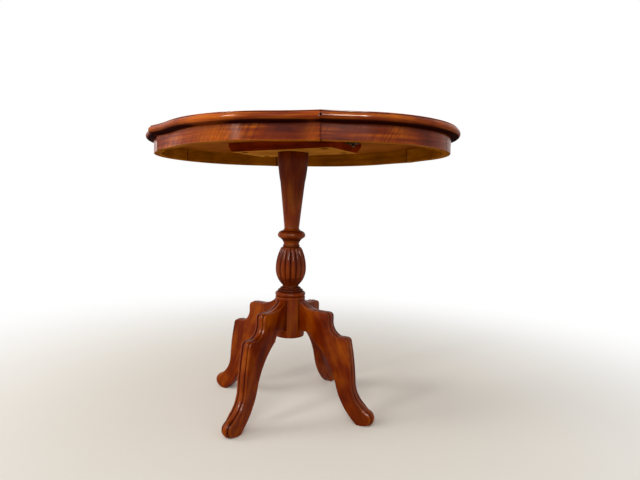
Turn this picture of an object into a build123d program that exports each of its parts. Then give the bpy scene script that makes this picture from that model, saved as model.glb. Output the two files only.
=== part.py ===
"""Tilt-top pedestal table: a lobed oval top that tips up on two pins at the head of a turned pillar.

Millimetres, +Z up. The origin is on the floor, on the pillar's axis. X runs along the
length of the top and Y across it; the front is -Y. The pins lie across the left end (-X)
of the pivot block and the catch is at its right end (+X), so the +X end of the top rises.
"""
from build123d import *
import os
from math import acos, asin, atan2, cos, hypot, radians, sin, sqrt

# ---------------------------------------------------------------- driving sizes
table_height = 700.0

# Lobed outline, measured at the outer face of the skirt
side_reach = 300.5  # pillar axis to the crown of a long side lobe
end_reach = 394.0  # pillar axis to the crown of an end lobe
cusp_behind_end = 168.0  # cusp, back from the crown of an end lobe
cusp_behind_side = 60.5  # cusp, back from the crown of a side lobe
side_crown_radius = 320.0
side_reverse_radius = 565.0  # shallow hollow between crown and cusp
end_crown_radius = 232.0
end_reverse_radius = 525.0

# Top and moulded edge
top_thickness = 21.0
edge_overhang = 20.0  # moulding beyond the skirt
lip_height = 2.6  # upright lip round the top face
lip_setback = 6.0  # lip behind the nose of the moulding
quirk_width = 1.4  # little ledge between lip and thumb
thumb_height = 13.4
cove_reach = 9.0  # cove under the thumb, measured inward
mitre_run_past = 80.0  # moulding made this much longer than a lobe, then mitred

# Skirt
skirt_depth = 33.0
skirt_wall = 18.0

# Bearers, pivot block and the pins between them
bearer_length = 318.0
bearer_thickness = 24.0  # block underside to top underside
bearer_width = 34.3
block_width = 62.0
end_upright = 9.3  # upright part of each end, above the slope
end_slope = 12.0  # how far each end slopes in to the underside
tilt_gap = 0.3  # between the tilting top and everything fixed
pin_radius = 4.0
pin_in_block = 22.0
pin_in_bearer = 20.0
pin_run_clearance = 0.05  # radial, pin in bearer
pin_end_clearance = 0.5

# Screws up through the bearers
screw_from_end = 39.0
screw_from_outside = 19.0
screw_radius = 2.5
screw_head_radius = 4.7
screw_head_height = 3.0
screw_slot_width = 1.2
screw_slot_depth = 1.3
screw_in_top = 14.0
counterbore_radius = 6.0
counterbore_depth = 8.0

# Pillar, from the floor up
hub_bottom = 184.0
hub_height = 104.0
hub_radius = 38.0
hub_edge_radius = 3.0
cap_radius = 38.4  # thin cap on the hub
cap_height = 7.0
base_ring_radius = 39.2  # big round ring over the cap
base_ring_height = 12.0
step_ring_radius = 32.4
step_ring_height = 5.5
upper_step_radius = 26.5
upper_step_height = 5.0
lower_neck_radius = 20.6
lower_neck_height = 6.0
urn_radius = 39.5
urn_below = 43.5  # widest point down to the urn's foot
urn_above = 51.0  # widest point up to the ends of the reeds
urn_mouth_radius = 27.5
urn_shoulder_height = 4.5  # rounded in from the mouth to the bead
urn_shoulder_radius = 14.0
bead_radius = 21.8
bead_height = 4.5
upper_neck_radius = 20.0
upper_neck_height = 7.0
collar_cove_height = 11.0  # hollow from the neck out to the collar
collar_radius = 35.6
collar_height = 18.0
flare_height = 6.0  # hollow from the collar into the taper
taper_small_radius = 19.0
taper_large_radius = 38.9
shoulder_height = 74.0  # full, rounded part at the head of the taper
shoulder_fullness = 1.6
reed_count = 16
reed_groove_radius = 2.5
reed_margin = 3.0  # plain strip at each end of the reeds
tenon_radius = 17.0
kerf_depth = 18.0
wedge_thick_end = 4.2
wedge_thin_end = 1.6

# Legs
leg_thickness = 29.0
leg_root_depth = 76.0  # height of the joint on the hub
leg_root_below_hub_top = 8.0
sweep_radius = 80.0  # hollow from the hub down to the first shoulder
first_shoulder_reach = 113.5
first_shoulder_drop = 19.5
first_shoulder_length = 26.0
nose_radius = 12.0  # rounded outer corner of both shoulders
nose_drop = 9.0  # upright below the first nose
notch_radius = 33.0
second_shoulder_reach = 166.5
second_shoulder_drop = 75.0
second_shoulder_length = 18.0
shank_radius = 600.0  # nearly straight outer edge of the shank
ankle_reach = 191.5
ankle_height = 96.0
toe_top_reach = 233.0
toe_reach = 247.0
toe_height = 38.0
sole_start = 207.5
sole_length = 24.5
calf_reach = 147.5  # underside, where the foot's hollow turns into the thigh
calf_height = 88.0
foot_hollow_radius = 158.0
knee_reach = 80.0  # little cusp under the leg, by the hub
knee_below_root = 18.0
knee_hollow = 13.0  # from the little cusp in to the joint
knee_hollow_radius = 26.0
bead_groove_offset = 7.6  # grooves along the outer edge, from the leg's middle plane
bead_groove_width = 3.0
bead_groove_depth = 2.4
dowel_radius = 5.0
dowel_in_leg = 20.0
dowel_in_hub = 19.0
dowel_spacing = 36.0
dowel_chamfer = 0.8

# Slide bolt under the top, and its keeper on the end of the block
bolt_width = 9.0
bolt_height = 5.0
bolt_length = 22.0
bolt_travel = 7.0
bolt_bevel = 2.6
bolt_clearance = 0.2
bolt_drop = 2.7  # top underside to the upper face of the bolt
case_gap = 1.0  # case in front of the end of the block
case_wall = 1.4
case_flange_thickness = 1.2
case_flange_side = 8.0
knob_stem_radius = 2.0
knob_radius = 4.6
knob_height = 6.5
knob_waist_radius = 2.9
knob_from_nose = 11.0
knob_stem_in_bolt = 3.0
slot_clearance = 0.3
small_screw_radius = 1.2
small_screw_head_radius = 2.3
small_screw_length = 9.0
small_screw_angle = 90.0
small_screw_slot_width = 0.7
small_screw_slot_depth = 0.6
keeper_length = 36.0
keeper_height = 8.6
keeper_thickness = 1.5
keeper_screw_spacing = 27.0
keeper_clearance = 0.4  # keeper hole round the bolt
mortise_extra = 0.8  # block mortise deeper than the thrown bolt

# ---------------------------------------------------------------- sizes that follow
cusp_along = end_reach - cusp_behind_end
cusp_across = side_reach - cusp_behind_side
top_underside = table_height - top_thickness
skirt_bottom = top_underside - skirt_depth
block_bottom = top_underside - bearer_thickness
block_top = top_underside - tilt_gap
bearer_bottom = block_bottom + tilt_gap
bearer_inside = block_width / 2 + tilt_gap
bearer_outside = bearer_inside + bearer_width
bearer_half = bearer_length / 2
pivot_radius = (block_top - block_bottom) / 2  # rounded upper corner of the block
pivot_x = -(bearer_half - end_slope) + pivot_radius
pivot_z = block_bottom + pivot_radius
screw_x = bearer_half - screw_from_end
screw_y = bearer_outside - screw_from_outside
screw_spots = [(x, y) for x in (-screw_x, screw_x) for y in (-screw_y, screw_y)]
hub_top = hub_bottom + hub_height
leg_root_top = hub_top - leg_root_below_hub_top
leg_root_bottom = leg_root_top - leg_root_depth
dowel_heights = [
    (leg_root_top + leg_root_bottom) / 2 + side * dowel_spacing / 2 for side in (-1, 1)
]
leg_names = {0: "leg_right", 90: "leg_back", 180: "leg_left", 270: "leg_front"}

os.makedirs("parts", exist_ok=True)


def save(piece, node):
    """Label a finished piece and write it as its own STEP file."""
    piece.part.label = node
    export_step(piece.part, f"parts/{node}.step")


# ---------------------------------------------------------------- lobed outline
class Lobe:
    """One lobe: a crown arc with a shallow reverse arc on each side, out to the cusps.

    (out, along) are the lobe's own axes: out points away from the pillar through the
    crown. The reverse arc is tangent to the crown arc and ends at the cusp.
    """

    def __init__(self, facing, reach, crown_radius, reverse_radius, cusp_side, cusp_out):
        self.facing = facing
        self.crown_radius = crown_radius
        self.reverse_radius = reverse_radius
        self.crown_out = reach - crown_radius
        span = hypot(cusp_side, cusp_out - self.crown_out)
        centres = crown_radius + reverse_radius
        bend = acos((centres**2 + span**2 - reverse_radius**2) / (2 * centres * span))
        self.blend = atan2(cusp_side, cusp_out - self.crown_out) - bend
        self.reverse_side = centres * sin(self.blend)
        self.reverse_out = self.crown_out + centres * cos(self.blend)

    def place(self, out, side):
        """A point in the lobe's own axes, turned into the table's."""
        turn = radians(self.facing)
        return Vector(
            out * cos(turn) - side * sin(turn), out * sin(turn) + side * cos(turn)
        )

    def reverse_centre(self, side):
        return self.place(self.reverse_out, side * self.reverse_side)

    def crown_point(self, offset, angle):
        radius = self.crown_radius + offset
        return self.place(self.crown_out + radius * cos(angle), radius * sin(angle))


def facing_lobe(facing):
    """The lobe that faces 0, 90, 180 or 270 degrees from +X."""
    if facing in (0, 180):
        return Lobe(
            facing, end_reach, end_crown_radius, end_reverse_radius, cusp_across, cusp_along
        )
    return Lobe(
        facing, side_reach, side_crown_radius, side_reverse_radius, cusp_along, cusp_across
    )


lobes = {facing: facing_lobe(facing) for facing in (0, 90, 180, 270)}


def cusp(quarter, offset):
    """Where the reverse arcs of two neighbouring lobes meet, at an offset from the skirt.

    quarter is 45, 135, 225 or 315: the two circles meet twice, and the cusp is the
    meeting nearer to the pillar.
    """
    first, second = lobes[quarter - 45], lobes[(quarter + 45) % 360]
    start, end = first.reverse_centre(1), second.reverse_centre(-1)
    near, far = first.reverse_radius - offset, second.reverse_radius - offset
    gap = end - start
    run = (gap.length**2 + near**2 - far**2) / (2 * gap.length)
    rise = sqrt(near**2 - run**2)
    along = gap.normalized()
    across = Vector(-along.Y, along.X)
    meetings = [start + along * run + across * rise, start + along * run - across * rise]
    return min(meetings, key=lambda point: point.length)


def reverse_mid(lobe, offset, start, end, side):
    """The point half way along a reverse arc."""
    centre = lobe.reverse_centre(side)
    half_way = (start + end) / 2 - centre
    return centre + half_way.normalized() * (lobe.reverse_radius - offset)


def lobe_arcs(facing, offset, first_half=True, second_half=True):
    """Draw one lobe, or half of it, anticlockwise at an offset from the skirt's face."""
    lobe = lobes[facing]
    joins = [lobe.crown_point(offset, angle) for angle in (-lobe.blend, 0, lobe.blend)]
    quarter_turns = [lobe.crown_point(offset, share * lobe.blend) for share in (-0.5, 0.5)]
    if first_half:
        start = cusp((facing - 45) % 360, offset)
        ThreePointArc(start, reverse_mid(lobe, offset, start, joins[0], -1), joins[0])
        ThreePointArc(joins[0], quarter_turns[0], joins[1])
    if second_half:
        end = cusp(facing + 45, offset)
        ThreePointArc(joins[1], quarter_turns[1], joins[2])
        ThreePointArc(joins[2], reverse_mid(lobe, offset, joins[2], end, 1), end)


# ---------------------------------------------------------------- moulded edge
def mitre(quarter):
    """Upright plane through a cusp, facing clockwise round the top."""
    inner, outer = cusp(quarter, -skirt_wall), cusp(quarter, edge_overhang)
    outward = (outer - inner).normalized()
    return Plane(origin=inner, x_dir=outward, z_dir=Vector(outward.Y, -outward.X))


def edge_section(start, along):
    """Section of the moulding: flat top, lip, quirk, thumb and cove, over the skirt."""
    lip = edge_overhang - lip_setback
    thumb = lip + quirk_width
    thumb_top = top_thickness - lip_height
    thumb_bottom = thumb_top - thumb_height
    outward = Vector(along.Y, -along.X)
    with BuildSketch(Plane(origin=start, x_dir=outward, z_dir=-along)) as section:
        with BuildLine():
            Polyline(
                (lip - cove_reach, 0),
                (-skirt_wall, 0),
                (-skirt_wall, top_thickness),
                (lip, top_thickness),
                (lip, thumb_top),
                (thumb, thumb_top),
            )
            ThreePointArc(
                (thumb, thumb_top),
                (edge_overhang, (thumb_top + thumb_bottom) / 2),
                (thumb, thumb_bottom),
            )
            Line((thumb, thumb_bottom), (lip, thumb_bottom))
            RadiusArc((lip, thumb_bottom), (lip - cove_reach, 0), -cove_reach)
        make_face()
    return section.sketch


def moulding_run(facing):
    """The moulding of one lobe: swept along its arcs, run past the cusps and mitred."""
    with BuildLine() as arcs:
        lobe_arcs(facing, 0)
    lobe_line = arcs.wire()
    first, last = lobe_line @ 0, lobe_line @ 1
    with BuildLine() as path:
        Line(first - (lobe_line % 0) * mitre_run_past, first)
        add(arcs.line)
        Line(last, last + (lobe_line % 1) * mitre_run_past)
    rail = path.wire().moved(Location((0, 0, top_underside)))
    with BuildPart() as moulding:
        sweep(edge_section(rail @ 0, rail % 0), path=rail)
        split(bisect_by=mitre((facing - 45) % 360), keep=Keep.BOTTOM)
        split(bisect_by=mitre(facing + 45), keep=Keep.TOP)
    return moulding


edge_names = {0: "edge_right", 90: "edge_back", 180: "edge_left", 270: "edge_front"}
for facing, node in edge_names.items():
    save(moulding_run(facing), node)


# ---------------------------------------------------------------- skirt
def skirt_piece(facing, first_half, second_half):
    """A lobe of the skirt, or half of one, mitred at the cusps and butted at the crown."""
    ends = []
    for half, quarter in ((first_half, (facing - 45) % 360), (second_half, facing + 45)):
        if half:
            ends.append((cusp(quarter, 0), cusp(quarter, -skirt_wall)))
        else:
            lobe = lobes[facing]
            ends.append((lobe.crown_point(0, 0), lobe.crown_point(-skirt_wall, 0)))
    with BuildPart() as skirt:
        with BuildSketch(Plane.XY.offset(skirt_bottom)):
            with BuildLine():
                lobe_arcs(facing, 0, first_half, second_half)
                lobe_arcs(facing, -skirt_wall, first_half, second_half)
                for outer, inner in ends:
                    Line(outer, inner)
            make_face()
        extrude(amount=skirt_depth)
    return skirt


save(skirt_piece(90, True, True), "skirt_back")
save(skirt_piece(270, True, True), "skirt_front")
save(skirt_piece(0, True, False), "skirt_right_front")
save(skirt_piece(0, False, True), "skirt_right_back")
save(skirt_piece(180, True, False), "skirt_left_back")
save(skirt_piece(180, False, True), "skirt_left_front")


# ---------------------------------------------------------------- bearers
def bearer_on(side):
    """A bearer on side -1 (front) or +1 (back): sloped ends, screw holes, pin bore."""
    inside_face = Plane.XZ.offset(-side * bearer_inside)
    slope_top = top_underside - end_upright
    with BuildPart() as bearer:
        with BuildSketch(inside_face):
            with BuildLine():
                Polyline(
                    (-bearer_half, top_underside),
                    (bearer_half, top_underside),
                    (bearer_half, slope_top),
                    (bearer_half - end_slope, bearer_bottom),
                    (-bearer_half + end_slope, bearer_bottom),
                    (-bearer_half, slope_top),
                    close=True,
                )
            make_face()
        extrude(amount=-side * bearer_width)
        with BuildSketch(Plane.XY.offset(bearer_bottom)):
            with Locations((-screw_x, side * screw_y), (screw_x, side * screw_y)):
                Circle(counterbore_radius)
        extrude(amount=counterbore_depth, mode=Mode.SUBTRACT)
        with BuildSketch(Plane.XY.offset(bearer_bottom)):
            with Locations((-screw_x, side * screw_y), (screw_x, side * screw_y)):
                Circle(screw_radius)
        extrude(amount=bearer_thickness, mode=Mode.SUBTRACT)
        with BuildSketch(inside_face):
            with Locations((pivot_x, pivot_z)):
                Circle(pin_radius + pin_run_clearance)
        extrude(amount=-side * (pin_in_bearer + pin_end_clearance), mode=Mode.SUBTRACT)
    return bearer


save(bearer_on(-1), "bearer_front")
save(bearer_on(1), "bearer_back")

head_seat = bearer_bottom + counterbore_depth
with BuildPart() as bearer_screws:
    with BuildSketch(Plane.XY.offset(head_seat)):
        with Locations(*screw_spots):
            Circle(screw_radius)
    extrude(amount=top_underside + screw_in_top - head_seat)
    with BuildSketch(Plane.XY.offset(head_seat)):
        with Locations(*screw_spots):
            Circle(screw_head_radius)
    extrude(amount=-screw_head_height)
    with BuildSketch(Plane.XY.offset(head_seat - screw_head_height)):
        with Locations(*screw_spots):
            Rectangle(2 * screw_head_radius, screw_slot_width)
    extrude(amount=screw_slot_depth, mode=Mode.SUBTRACT)
save(bearer_screws, "bearer_screws")

# ---------------------------------------------------------------- pivot block
block_end = bearer_half
bolt_top = top_underside - bolt_drop
bolt_mid = bolt_top - bolt_height / 2
keeper_face = Plane(origin=(block_end, 0, bolt_mid), x_dir=(0, 1, 0), z_dir=(1, 0, 0))
keeper_screw_spots = [(side * keeper_screw_spacing / 2, 0) for side in (-1, 1)]
pin_planes = [Plane.XZ.offset(side * (block_width / 2 - pin_in_block)) for side in (-1, 1)]

with BuildPart() as pivot_block:
    with BuildSketch(Plane.XZ):
        with BuildLine():
            Polyline(
                (pivot_x, block_top),
                (block_end, block_top),
                (block_end, top_underside - end_upright),
                (block_end - end_slope, block_bottom),
                (pivot_x - pivot_radius, block_bottom),
                (pivot_x - pivot_radius, pivot_z),
            )
            RadiusArc(
                (pivot_x - pivot_radius, pivot_z),
                (pivot_x, block_top),
                pivot_radius,
            )
        make_face()
    extrude(amount=block_width / 2, both=True)
    with BuildSketch(Plane.XY.offset(block_bottom)):
        Circle(tenon_radius)
    extrude(amount=block_top - block_bottom, mode=Mode.SUBTRACT)
    for side, plane in zip((-1, 1), pin_planes):
        with BuildSketch(plane):
            with Locations((pivot_x, pivot_z)):
                Circle(pin_radius)
        extrude(amount=side * pin_in_block, mode=Mode.SUBTRACT)
    with BuildSketch(keeper_face):
        Rectangle(keeper_length, keeper_height)
    extrude(amount=-keeper_thickness, mode=Mode.SUBTRACT)
    with BuildSketch(keeper_face):
        Rectangle(bolt_width + 2 * keeper_clearance, bolt_height + 2 * keeper_clearance)
    extrude(amount=-(bolt_travel - case_gap + mortise_extra), mode=Mode.SUBTRACT)
    with BuildSketch(keeper_face):
        with Locations(*keeper_screw_spots):
            Circle(small_screw_radius)
    extrude(amount=-small_screw_length, mode=Mode.SUBTRACT)
save(pivot_block, "pivot_block")

with BuildPart() as pivot_pins:
    for side, plane in zip((-1, 1), pin_planes):
        with BuildSketch(plane):
            with Locations((pivot_x, pivot_z)):
                Circle(pin_radius)
        extrude(amount=side * (pin_in_block + tilt_gap + pin_in_bearer))
save(pivot_pins, "pivot_pins")

# ---------------------------------------------------------------- pillar
cap_bottom = hub_top - cap_height
base_ring_top = hub_top + base_ring_height
step_ring_top = base_ring_top + step_ring_height
upper_step_top = step_ring_top + upper_step_height
urn_foot = upper_step_top + lower_neck_height
urn_middle = urn_foot + urn_below
urn_mouth = urn_middle + urn_above
bead_bottom = urn_mouth + urn_shoulder_height
bead_top = bead_bottom + bead_height
neck_top = bead_top + upper_neck_height
collar_bottom = neck_top + collar_cove_height
collar_top = collar_bottom + collar_height
taper_bottom = collar_top + flare_height
shoulder_bottom = block_bottom - shoulder_height


def taper_radius(height):
    """Radius of the straight taper at a height."""
    share = (height - taper_bottom) / (block_bottom - taper_bottom)
    return taper_small_radius + share * (taper_large_radius - taper_small_radius)


def torus_bead(radius, bottom, top):
    """Half-round bead from bottom to top, reaching out to radius. Returns its root."""
    half = (top - bottom) / 2
    ThreePointArc((radius - half, bottom), (radius, bottom + half), (radius - half, top))
    return radius - half


def urn_side(margin=0.0):
    """The urn's side from foot to mouth: two arcs, both upright at its widest point."""
    for end_radius, rise in ((lower_neck_radius, -urn_below), (urn_mouth_radius, urn_above)):
        inset = urn_radius - end_radius
        arc = (inset**2 + rise**2) / (2 * inset)
        turn = asin(rise / arc * (1 - margin / abs(rise)))
        middle, half_way, end = (
            (urn_radius - arc + arc * cos(share * turn), urn_middle + arc * sin(share * turn))
            for share in (0, 0.5, 1)
        )
        if rise < 0:
            ThreePointArc(end, half_way, middle)
        else:
            ThreePointArc(middle, half_way, end)


with BuildPart() as tenon_wedge:
    with BuildSketch(Plane.YZ):
        with BuildLine():
            Polyline(
                (-wedge_thin_end / 2, block_top - kerf_depth),
                (wedge_thin_end / 2, block_top - kerf_depth),
                (wedge_thick_end / 2, block_top),
                (-wedge_thick_end / 2, block_top),
                close=True,
            )
        make_face()
    extrude(amount=tenon_radius, both=True)
    with BuildSketch(Plane.XY.offset(block_top - kerf_depth)):
        Circle(tenon_radius)
    extrude(amount=kerf_depth, mode=Mode.INTERSECT)
save(tenon_wedge, "tenon_wedge")

dowel_planes = [
    Plane(
        origin=(hub_radius * cos(radians(turn)), hub_radius * sin(radians(turn)), height),
        z_dir=(cos(radians(turn)), sin(radians(turn)), 0),
    )
    for turn in leg_names
    for height in dowel_heights
]

with BuildPart() as pillar:
    with BuildSketch(Plane.XZ):
        with BuildLine():
            base_root = torus_bead(base_ring_radius, hub_top, base_ring_top)
            Polyline(
                (0, hub_bottom),
                (hub_radius, hub_bottom),
                (hub_radius, cap_bottom),
                (cap_radius, cap_bottom),
                (cap_radius, hub_top),
                (base_root, hub_top),
            )
            step_root = torus_bead(step_ring_radius, base_ring_top, step_ring_top)
            Line((base_root, base_ring_top), (step_root, base_ring_top))
            Polyline(
                (step_root, step_ring_top),
                (upper_step_radius, step_ring_top),
                (upper_step_radius, upper_step_top),
                (lower_neck_radius, upper_step_top),
                (lower_neck_radius, urn_foot),
            )
            urn_side()
            bead_root = torus_bead(bead_radius, bead_bottom, bead_top)
            RadiusArc(
                (urn_mouth_radius, urn_mouth), (bead_root, bead_bottom), -urn_shoulder_radius
            )
            collar_root = torus_bead(collar_radius, collar_bottom, collar_top)
            Polyline(
                (bead_root, bead_top),
                (upper_neck_radius, bead_top),
                (upper_neck_radius, neck_top),
            )
            RadiusArc(
                (upper_neck_radius, neck_top),
                (collar_root, collar_bottom),
                collar_cove_height,
            )
            RadiusArc(
                (collar_root, collar_top),
                (taper_small_radius, taper_bottom),
                flare_height,
            )
            Line(
                (taper_small_radius, taper_bottom),
                (taper_radius(shoulder_bottom), shoulder_bottom),
            )
            shoulder_mid = block_bottom - shoulder_height / 2
            ThreePointArc(
                (taper_radius(shoulder_bottom), shoulder_bottom),
                (taper_radius(shoulder_mid) + shoulder_fullness, shoulder_mid),
                (taper_large_radius, block_bottom),
            )
            Polyline(
                (taper_large_radius, block_bottom),
                (tenon_radius, block_bottom),
                (tenon_radius, block_top),
                (0, block_top),
                (0, hub_bottom),
            )
        make_face()
    revolve(axis=Axis.Z)
    rims = pillar.edges().filter_by(GeomType.CIRCLE)
    fillet(rims.sort_by(Axis.Z)[0], radius=hub_edge_radius)
    with BuildLine(Plane.XZ) as flute:
        urn_side(reed_margin)
    flute_wire = flute.wire()
    with BuildSketch(Plane(origin=flute_wire @ 0, z_dir=flute_wire % 0)) as flute_section:
        Circle(reed_groove_radius)
    with BuildPart(mode=Mode.PRIVATE) as groove:
        sweep(flute_section.sketch, path=flute_wire)
    with PolarLocations(0, reed_count):
        add(groove.part, mode=Mode.SUBTRACT)
    add(tenon_wedge.part, mode=Mode.SUBTRACT)
    for plane in dowel_planes:
        with BuildSketch(plane):
            Circle(dowel_radius)
        extrude(amount=-dowel_in_hub, mode=Mode.SUBTRACT)
save(pillar, "pillar")

# ---------------------------------------------------------------- legs
first_shoulder = leg_root_top - first_shoulder_drop
second_shoulder = leg_root_top - second_shoulder_drop
first_start = first_shoulder_reach - first_shoulder_length
second_start = second_shoulder_reach - second_shoulder_length
notch_reach = first_shoulder_reach + nose_radius
notch_top = first_shoulder - nose_radius - nose_drop
sole_end = sole_start + sole_length


def outer_edge():
    """Upper and outer edge of a leg, from the hub over both shoulders to the sole."""
    Line((hub_radius / 2, leg_root_top), (hub_radius, leg_root_top))
    RadiusArc(
        (hub_radius, leg_root_top), (first_start, first_shoulder), -sweep_radius
    )
    Line((first_start, first_shoulder), (first_shoulder_reach, first_shoulder))
    RadiusArc(
        (first_shoulder_reach, first_shoulder),
        (notch_reach, first_shoulder - nose_radius),
        nose_radius,
    )
    Line((notch_reach, first_shoulder - nose_radius), (notch_reach, notch_top))
    RadiusArc((notch_reach, notch_top), (second_start, second_shoulder), -notch_radius)
    Line((second_start, second_shoulder), (second_shoulder_reach, second_shoulder))
    shank_top = (second_shoulder_reach + nose_radius, second_shoulder - nose_radius)
    RadiusArc((second_shoulder_reach, second_shoulder), shank_top, nose_radius)
    shank = RadiusArc(shank_top, (ankle_reach, ankle_height), shank_radius)
    TangentArc(shank @ 1, (toe_top_reach, toe_height), tangent=shank % 1)
    ThreePointArc(
        (toe_top_reach, toe_height), (toe_reach, toe_height / 2), (sole_end, 0)
    )


def under_edge():
    """Sole, underside and the little cusp beside the hub, back to the joint."""
    Line((sole_end, 0), (sole_start, 0))
    knee = (knee_reach, leg_root_bottom - knee_below_root)
    foot = RadiusArc((sole_start, 0), (calf_reach, calf_height), foot_hollow_radius)
    TangentArc(foot @ 1, knee, tangent=foot % 1)
    RadiusArc(knee, (knee_reach - knee_hollow, leg_root_bottom), -knee_hollow_radius)
    Line((knee_reach - knee_hollow, leg_root_bottom), (hub_radius / 2, leg_root_bottom))
    Line((hub_radius / 2, leg_root_bottom), (hub_radius / 2, leg_root_top))


with BuildPart() as leg_blank:
    with BuildSketch(Plane.XZ):
        with BuildLine():
            outer_edge()
            under_edge()
        make_face()
    extrude(amount=leg_thickness / 2, both=True)
    for side in (-1, 1):
        with BuildSketch(Plane.XZ.offset(side * bead_groove_offset)):
            with BuildLine():
                outer_edge()
                offset(amount=bead_groove_depth, side=Side.RIGHT)
            make_face()
        extrude(amount=bead_groove_width / 2, both=True, mode=Mode.SUBTRACT)
    with BuildSketch(Plane.XY.offset(leg_root_bottom)):
        Circle(hub_radius)
    extrude(amount=leg_root_depth, mode=Mode.SUBTRACT)
    with BuildSketch(Plane.YZ.offset(hub_radius)):
        with Locations(*[(0, height) for height in dowel_heights]):
            Circle(dowel_radius)
    extrude(amount=dowel_in_leg, both=True, mode=Mode.SUBTRACT)

for turn, node in leg_names.items():
    with BuildPart() as leg:
        add(leg_blank.part, rotation=(0, 0, turn))
    save(leg, node)

with BuildPart() as leg_dowels:
    for plane in dowel_planes:
        with BuildSketch(plane.offset(-dowel_in_hub)):
            Circle(dowel_radius)
        extrude(amount=dowel_in_hub + dowel_in_leg)
    chamfer(leg_dowels.edges().filter_by(GeomType.CIRCLE), length=dowel_chamfer)
save(leg_dowels, "leg_dowels")

# ---------------------------------------------------------------- slide bolt and keeper
case_front = block_end + case_gap
bolt_tail = case_front + bolt_length
case_back = bolt_tail + bolt_clearance + case_wall
case_length = case_back - case_front
case_middle = (case_front + case_back) / 2
channel_width = bolt_width + 2 * bolt_clearance
channel_height = bolt_height + 2 * bolt_clearance
case_bottom = bolt_mid - channel_height / 2 - case_wall
case_width = channel_width + 2 * case_wall
flange_bottom = top_underside - case_flange_thickness
flange_width = case_width + 2 * case_flange_side
flange_screw_along = case_length / 2 - case_flange_side / 2
flange_screw_across = flange_width / 2 - case_flange_side / 2
flange_screw_spots = [
    (case_middle + x, y)
    for x in (-flange_screw_along, flange_screw_along)
    for y in (-flange_screw_across, flange_screw_across)
]
stem_x = case_front + knob_from_nose
head_depth = small_screw_head_radius - small_screw_radius


def screw_set(plane, spots, length):
    """Small countersunk screws, heads flush with the plane, shanks running away from it."""
    with BuildPart() as screws:
        for spot in spots:
            with BuildSketch(plane):
                with Locations(spot):
                    Circle(small_screw_head_radius)
            extrude(amount=-head_depth, taper=small_screw_angle / 2)
        with BuildSketch(plane):
            with Locations(*spots):
                Circle(small_screw_radius)
        extrude(amount=-length)
    return screws.part


def slotted(screws, plane, spots):
    """The same screws with a driver slot across each head."""
    with BuildPart() as cut:
        add(screws)
        with BuildSketch(plane):
            with Locations(*spots):
                Rectangle(2 * small_screw_head_radius, small_screw_slot_width)
        extrude(amount=-small_screw_slot_depth, mode=Mode.SUBTRACT)
    return cut


flange_face = Plane(origin=(0, 0, flange_bottom), x_dir=(1, 0, 0), z_dir=(0, 0, -1))
flange_spots = [(x, -y) for x, y in flange_screw_spots]
flange_screws = screw_set(flange_face, flange_spots, small_screw_length)
keeper_screws = screw_set(keeper_face, keeper_screw_spots, small_screw_length)

with BuildPart() as catch_case:
    with BuildSketch(Plane.XY.offset(flange_bottom)):
        with Locations((case_middle, 0)):
            Rectangle(case_length, flange_width)
    extrude(amount=case_flange_thickness)
    with BuildSketch(Plane.XY.offset(case_bottom)):
        with Locations((case_middle, 0)):
            Rectangle(case_length, case_width)
    extrude(amount=flange_bottom - case_bottom)
    with BuildSketch(Plane.YZ.offset(case_front)):
        with Locations((0, bolt_mid)):
            Rectangle(channel_width, channel_height)
    extrude(amount=bolt_length + bolt_clearance, mode=Mode.SUBTRACT)
    with BuildSketch(Plane.XY.offset(case_bottom)):
        with Locations((stem_x - bolt_travel / 2, 0)):
            SlotCenterToCenter(bolt_travel, 2 * (knob_stem_radius + slot_clearance))
    extrude(amount=case_wall, mode=Mode.SUBTRACT)
    add(flange_screws, mode=Mode.SUBTRACT)
save(catch_case, "catch_case")
save(slotted(flange_screws, flange_face, flange_spots), "catch_screws")

# ---------------------------------------------------------------- top panel
with BuildPart() as top_panel:
    with BuildSketch(Plane.XY.offset(top_underside)):
        with BuildLine():
            for facing in lobes:
                lobe_arcs(facing, -skirt_wall)
        make_face()
    extrude(amount=top_thickness)
    with BuildSketch(Plane.XY.offset(top_underside)):
        with Locations(*screw_spots):
            Circle(screw_radius)
    extrude(amount=screw_in_top, mode=Mode.SUBTRACT)
    add(flange_screws, mode=Mode.SUBTRACT)
save(top_panel, "top_panel")

# ---------------------------------------------------------------- keeper and bolt
with BuildPart() as keeper_plate:
    with BuildSketch(keeper_face):
        Rectangle(keeper_length, keeper_height)
        Rectangle(
            bolt_width + 2 * keeper_clearance,
            bolt_height + 2 * keeper_clearance,
            mode=Mode.SUBTRACT,
        )
    extrude(amount=-keeper_thickness)
    add(keeper_screws, mode=Mode.SUBTRACT)
save(keeper_plate, "keeper_plate")
save(slotted(keeper_screws, keeper_face, keeper_screw_spots), "keeper_screws")

with BuildPart() as catch_bolt:
    with BuildSketch(Plane.YZ.offset(case_front)):
        with Locations((0, bolt_mid)):
            Rectangle(bolt_width, bolt_height)
    extrude(amount=bolt_length)
    nose_edge = catch_bolt.edges().filter_by(Axis.Y).group_by(Axis.Z)[0].sort_by(Axis.X)[0]
    chamfer(nose_edge, length=bolt_bevel)
    with BuildSketch(Plane.XY.offset(bolt_mid - bolt_height / 2)):
        with Locations((stem_x, 0)):
            Circle(knob_stem_radius)
    extrude(amount=knob_stem_in_bolt, mode=Mode.SUBTRACT)
save(catch_bolt, "catch_bolt")

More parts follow.
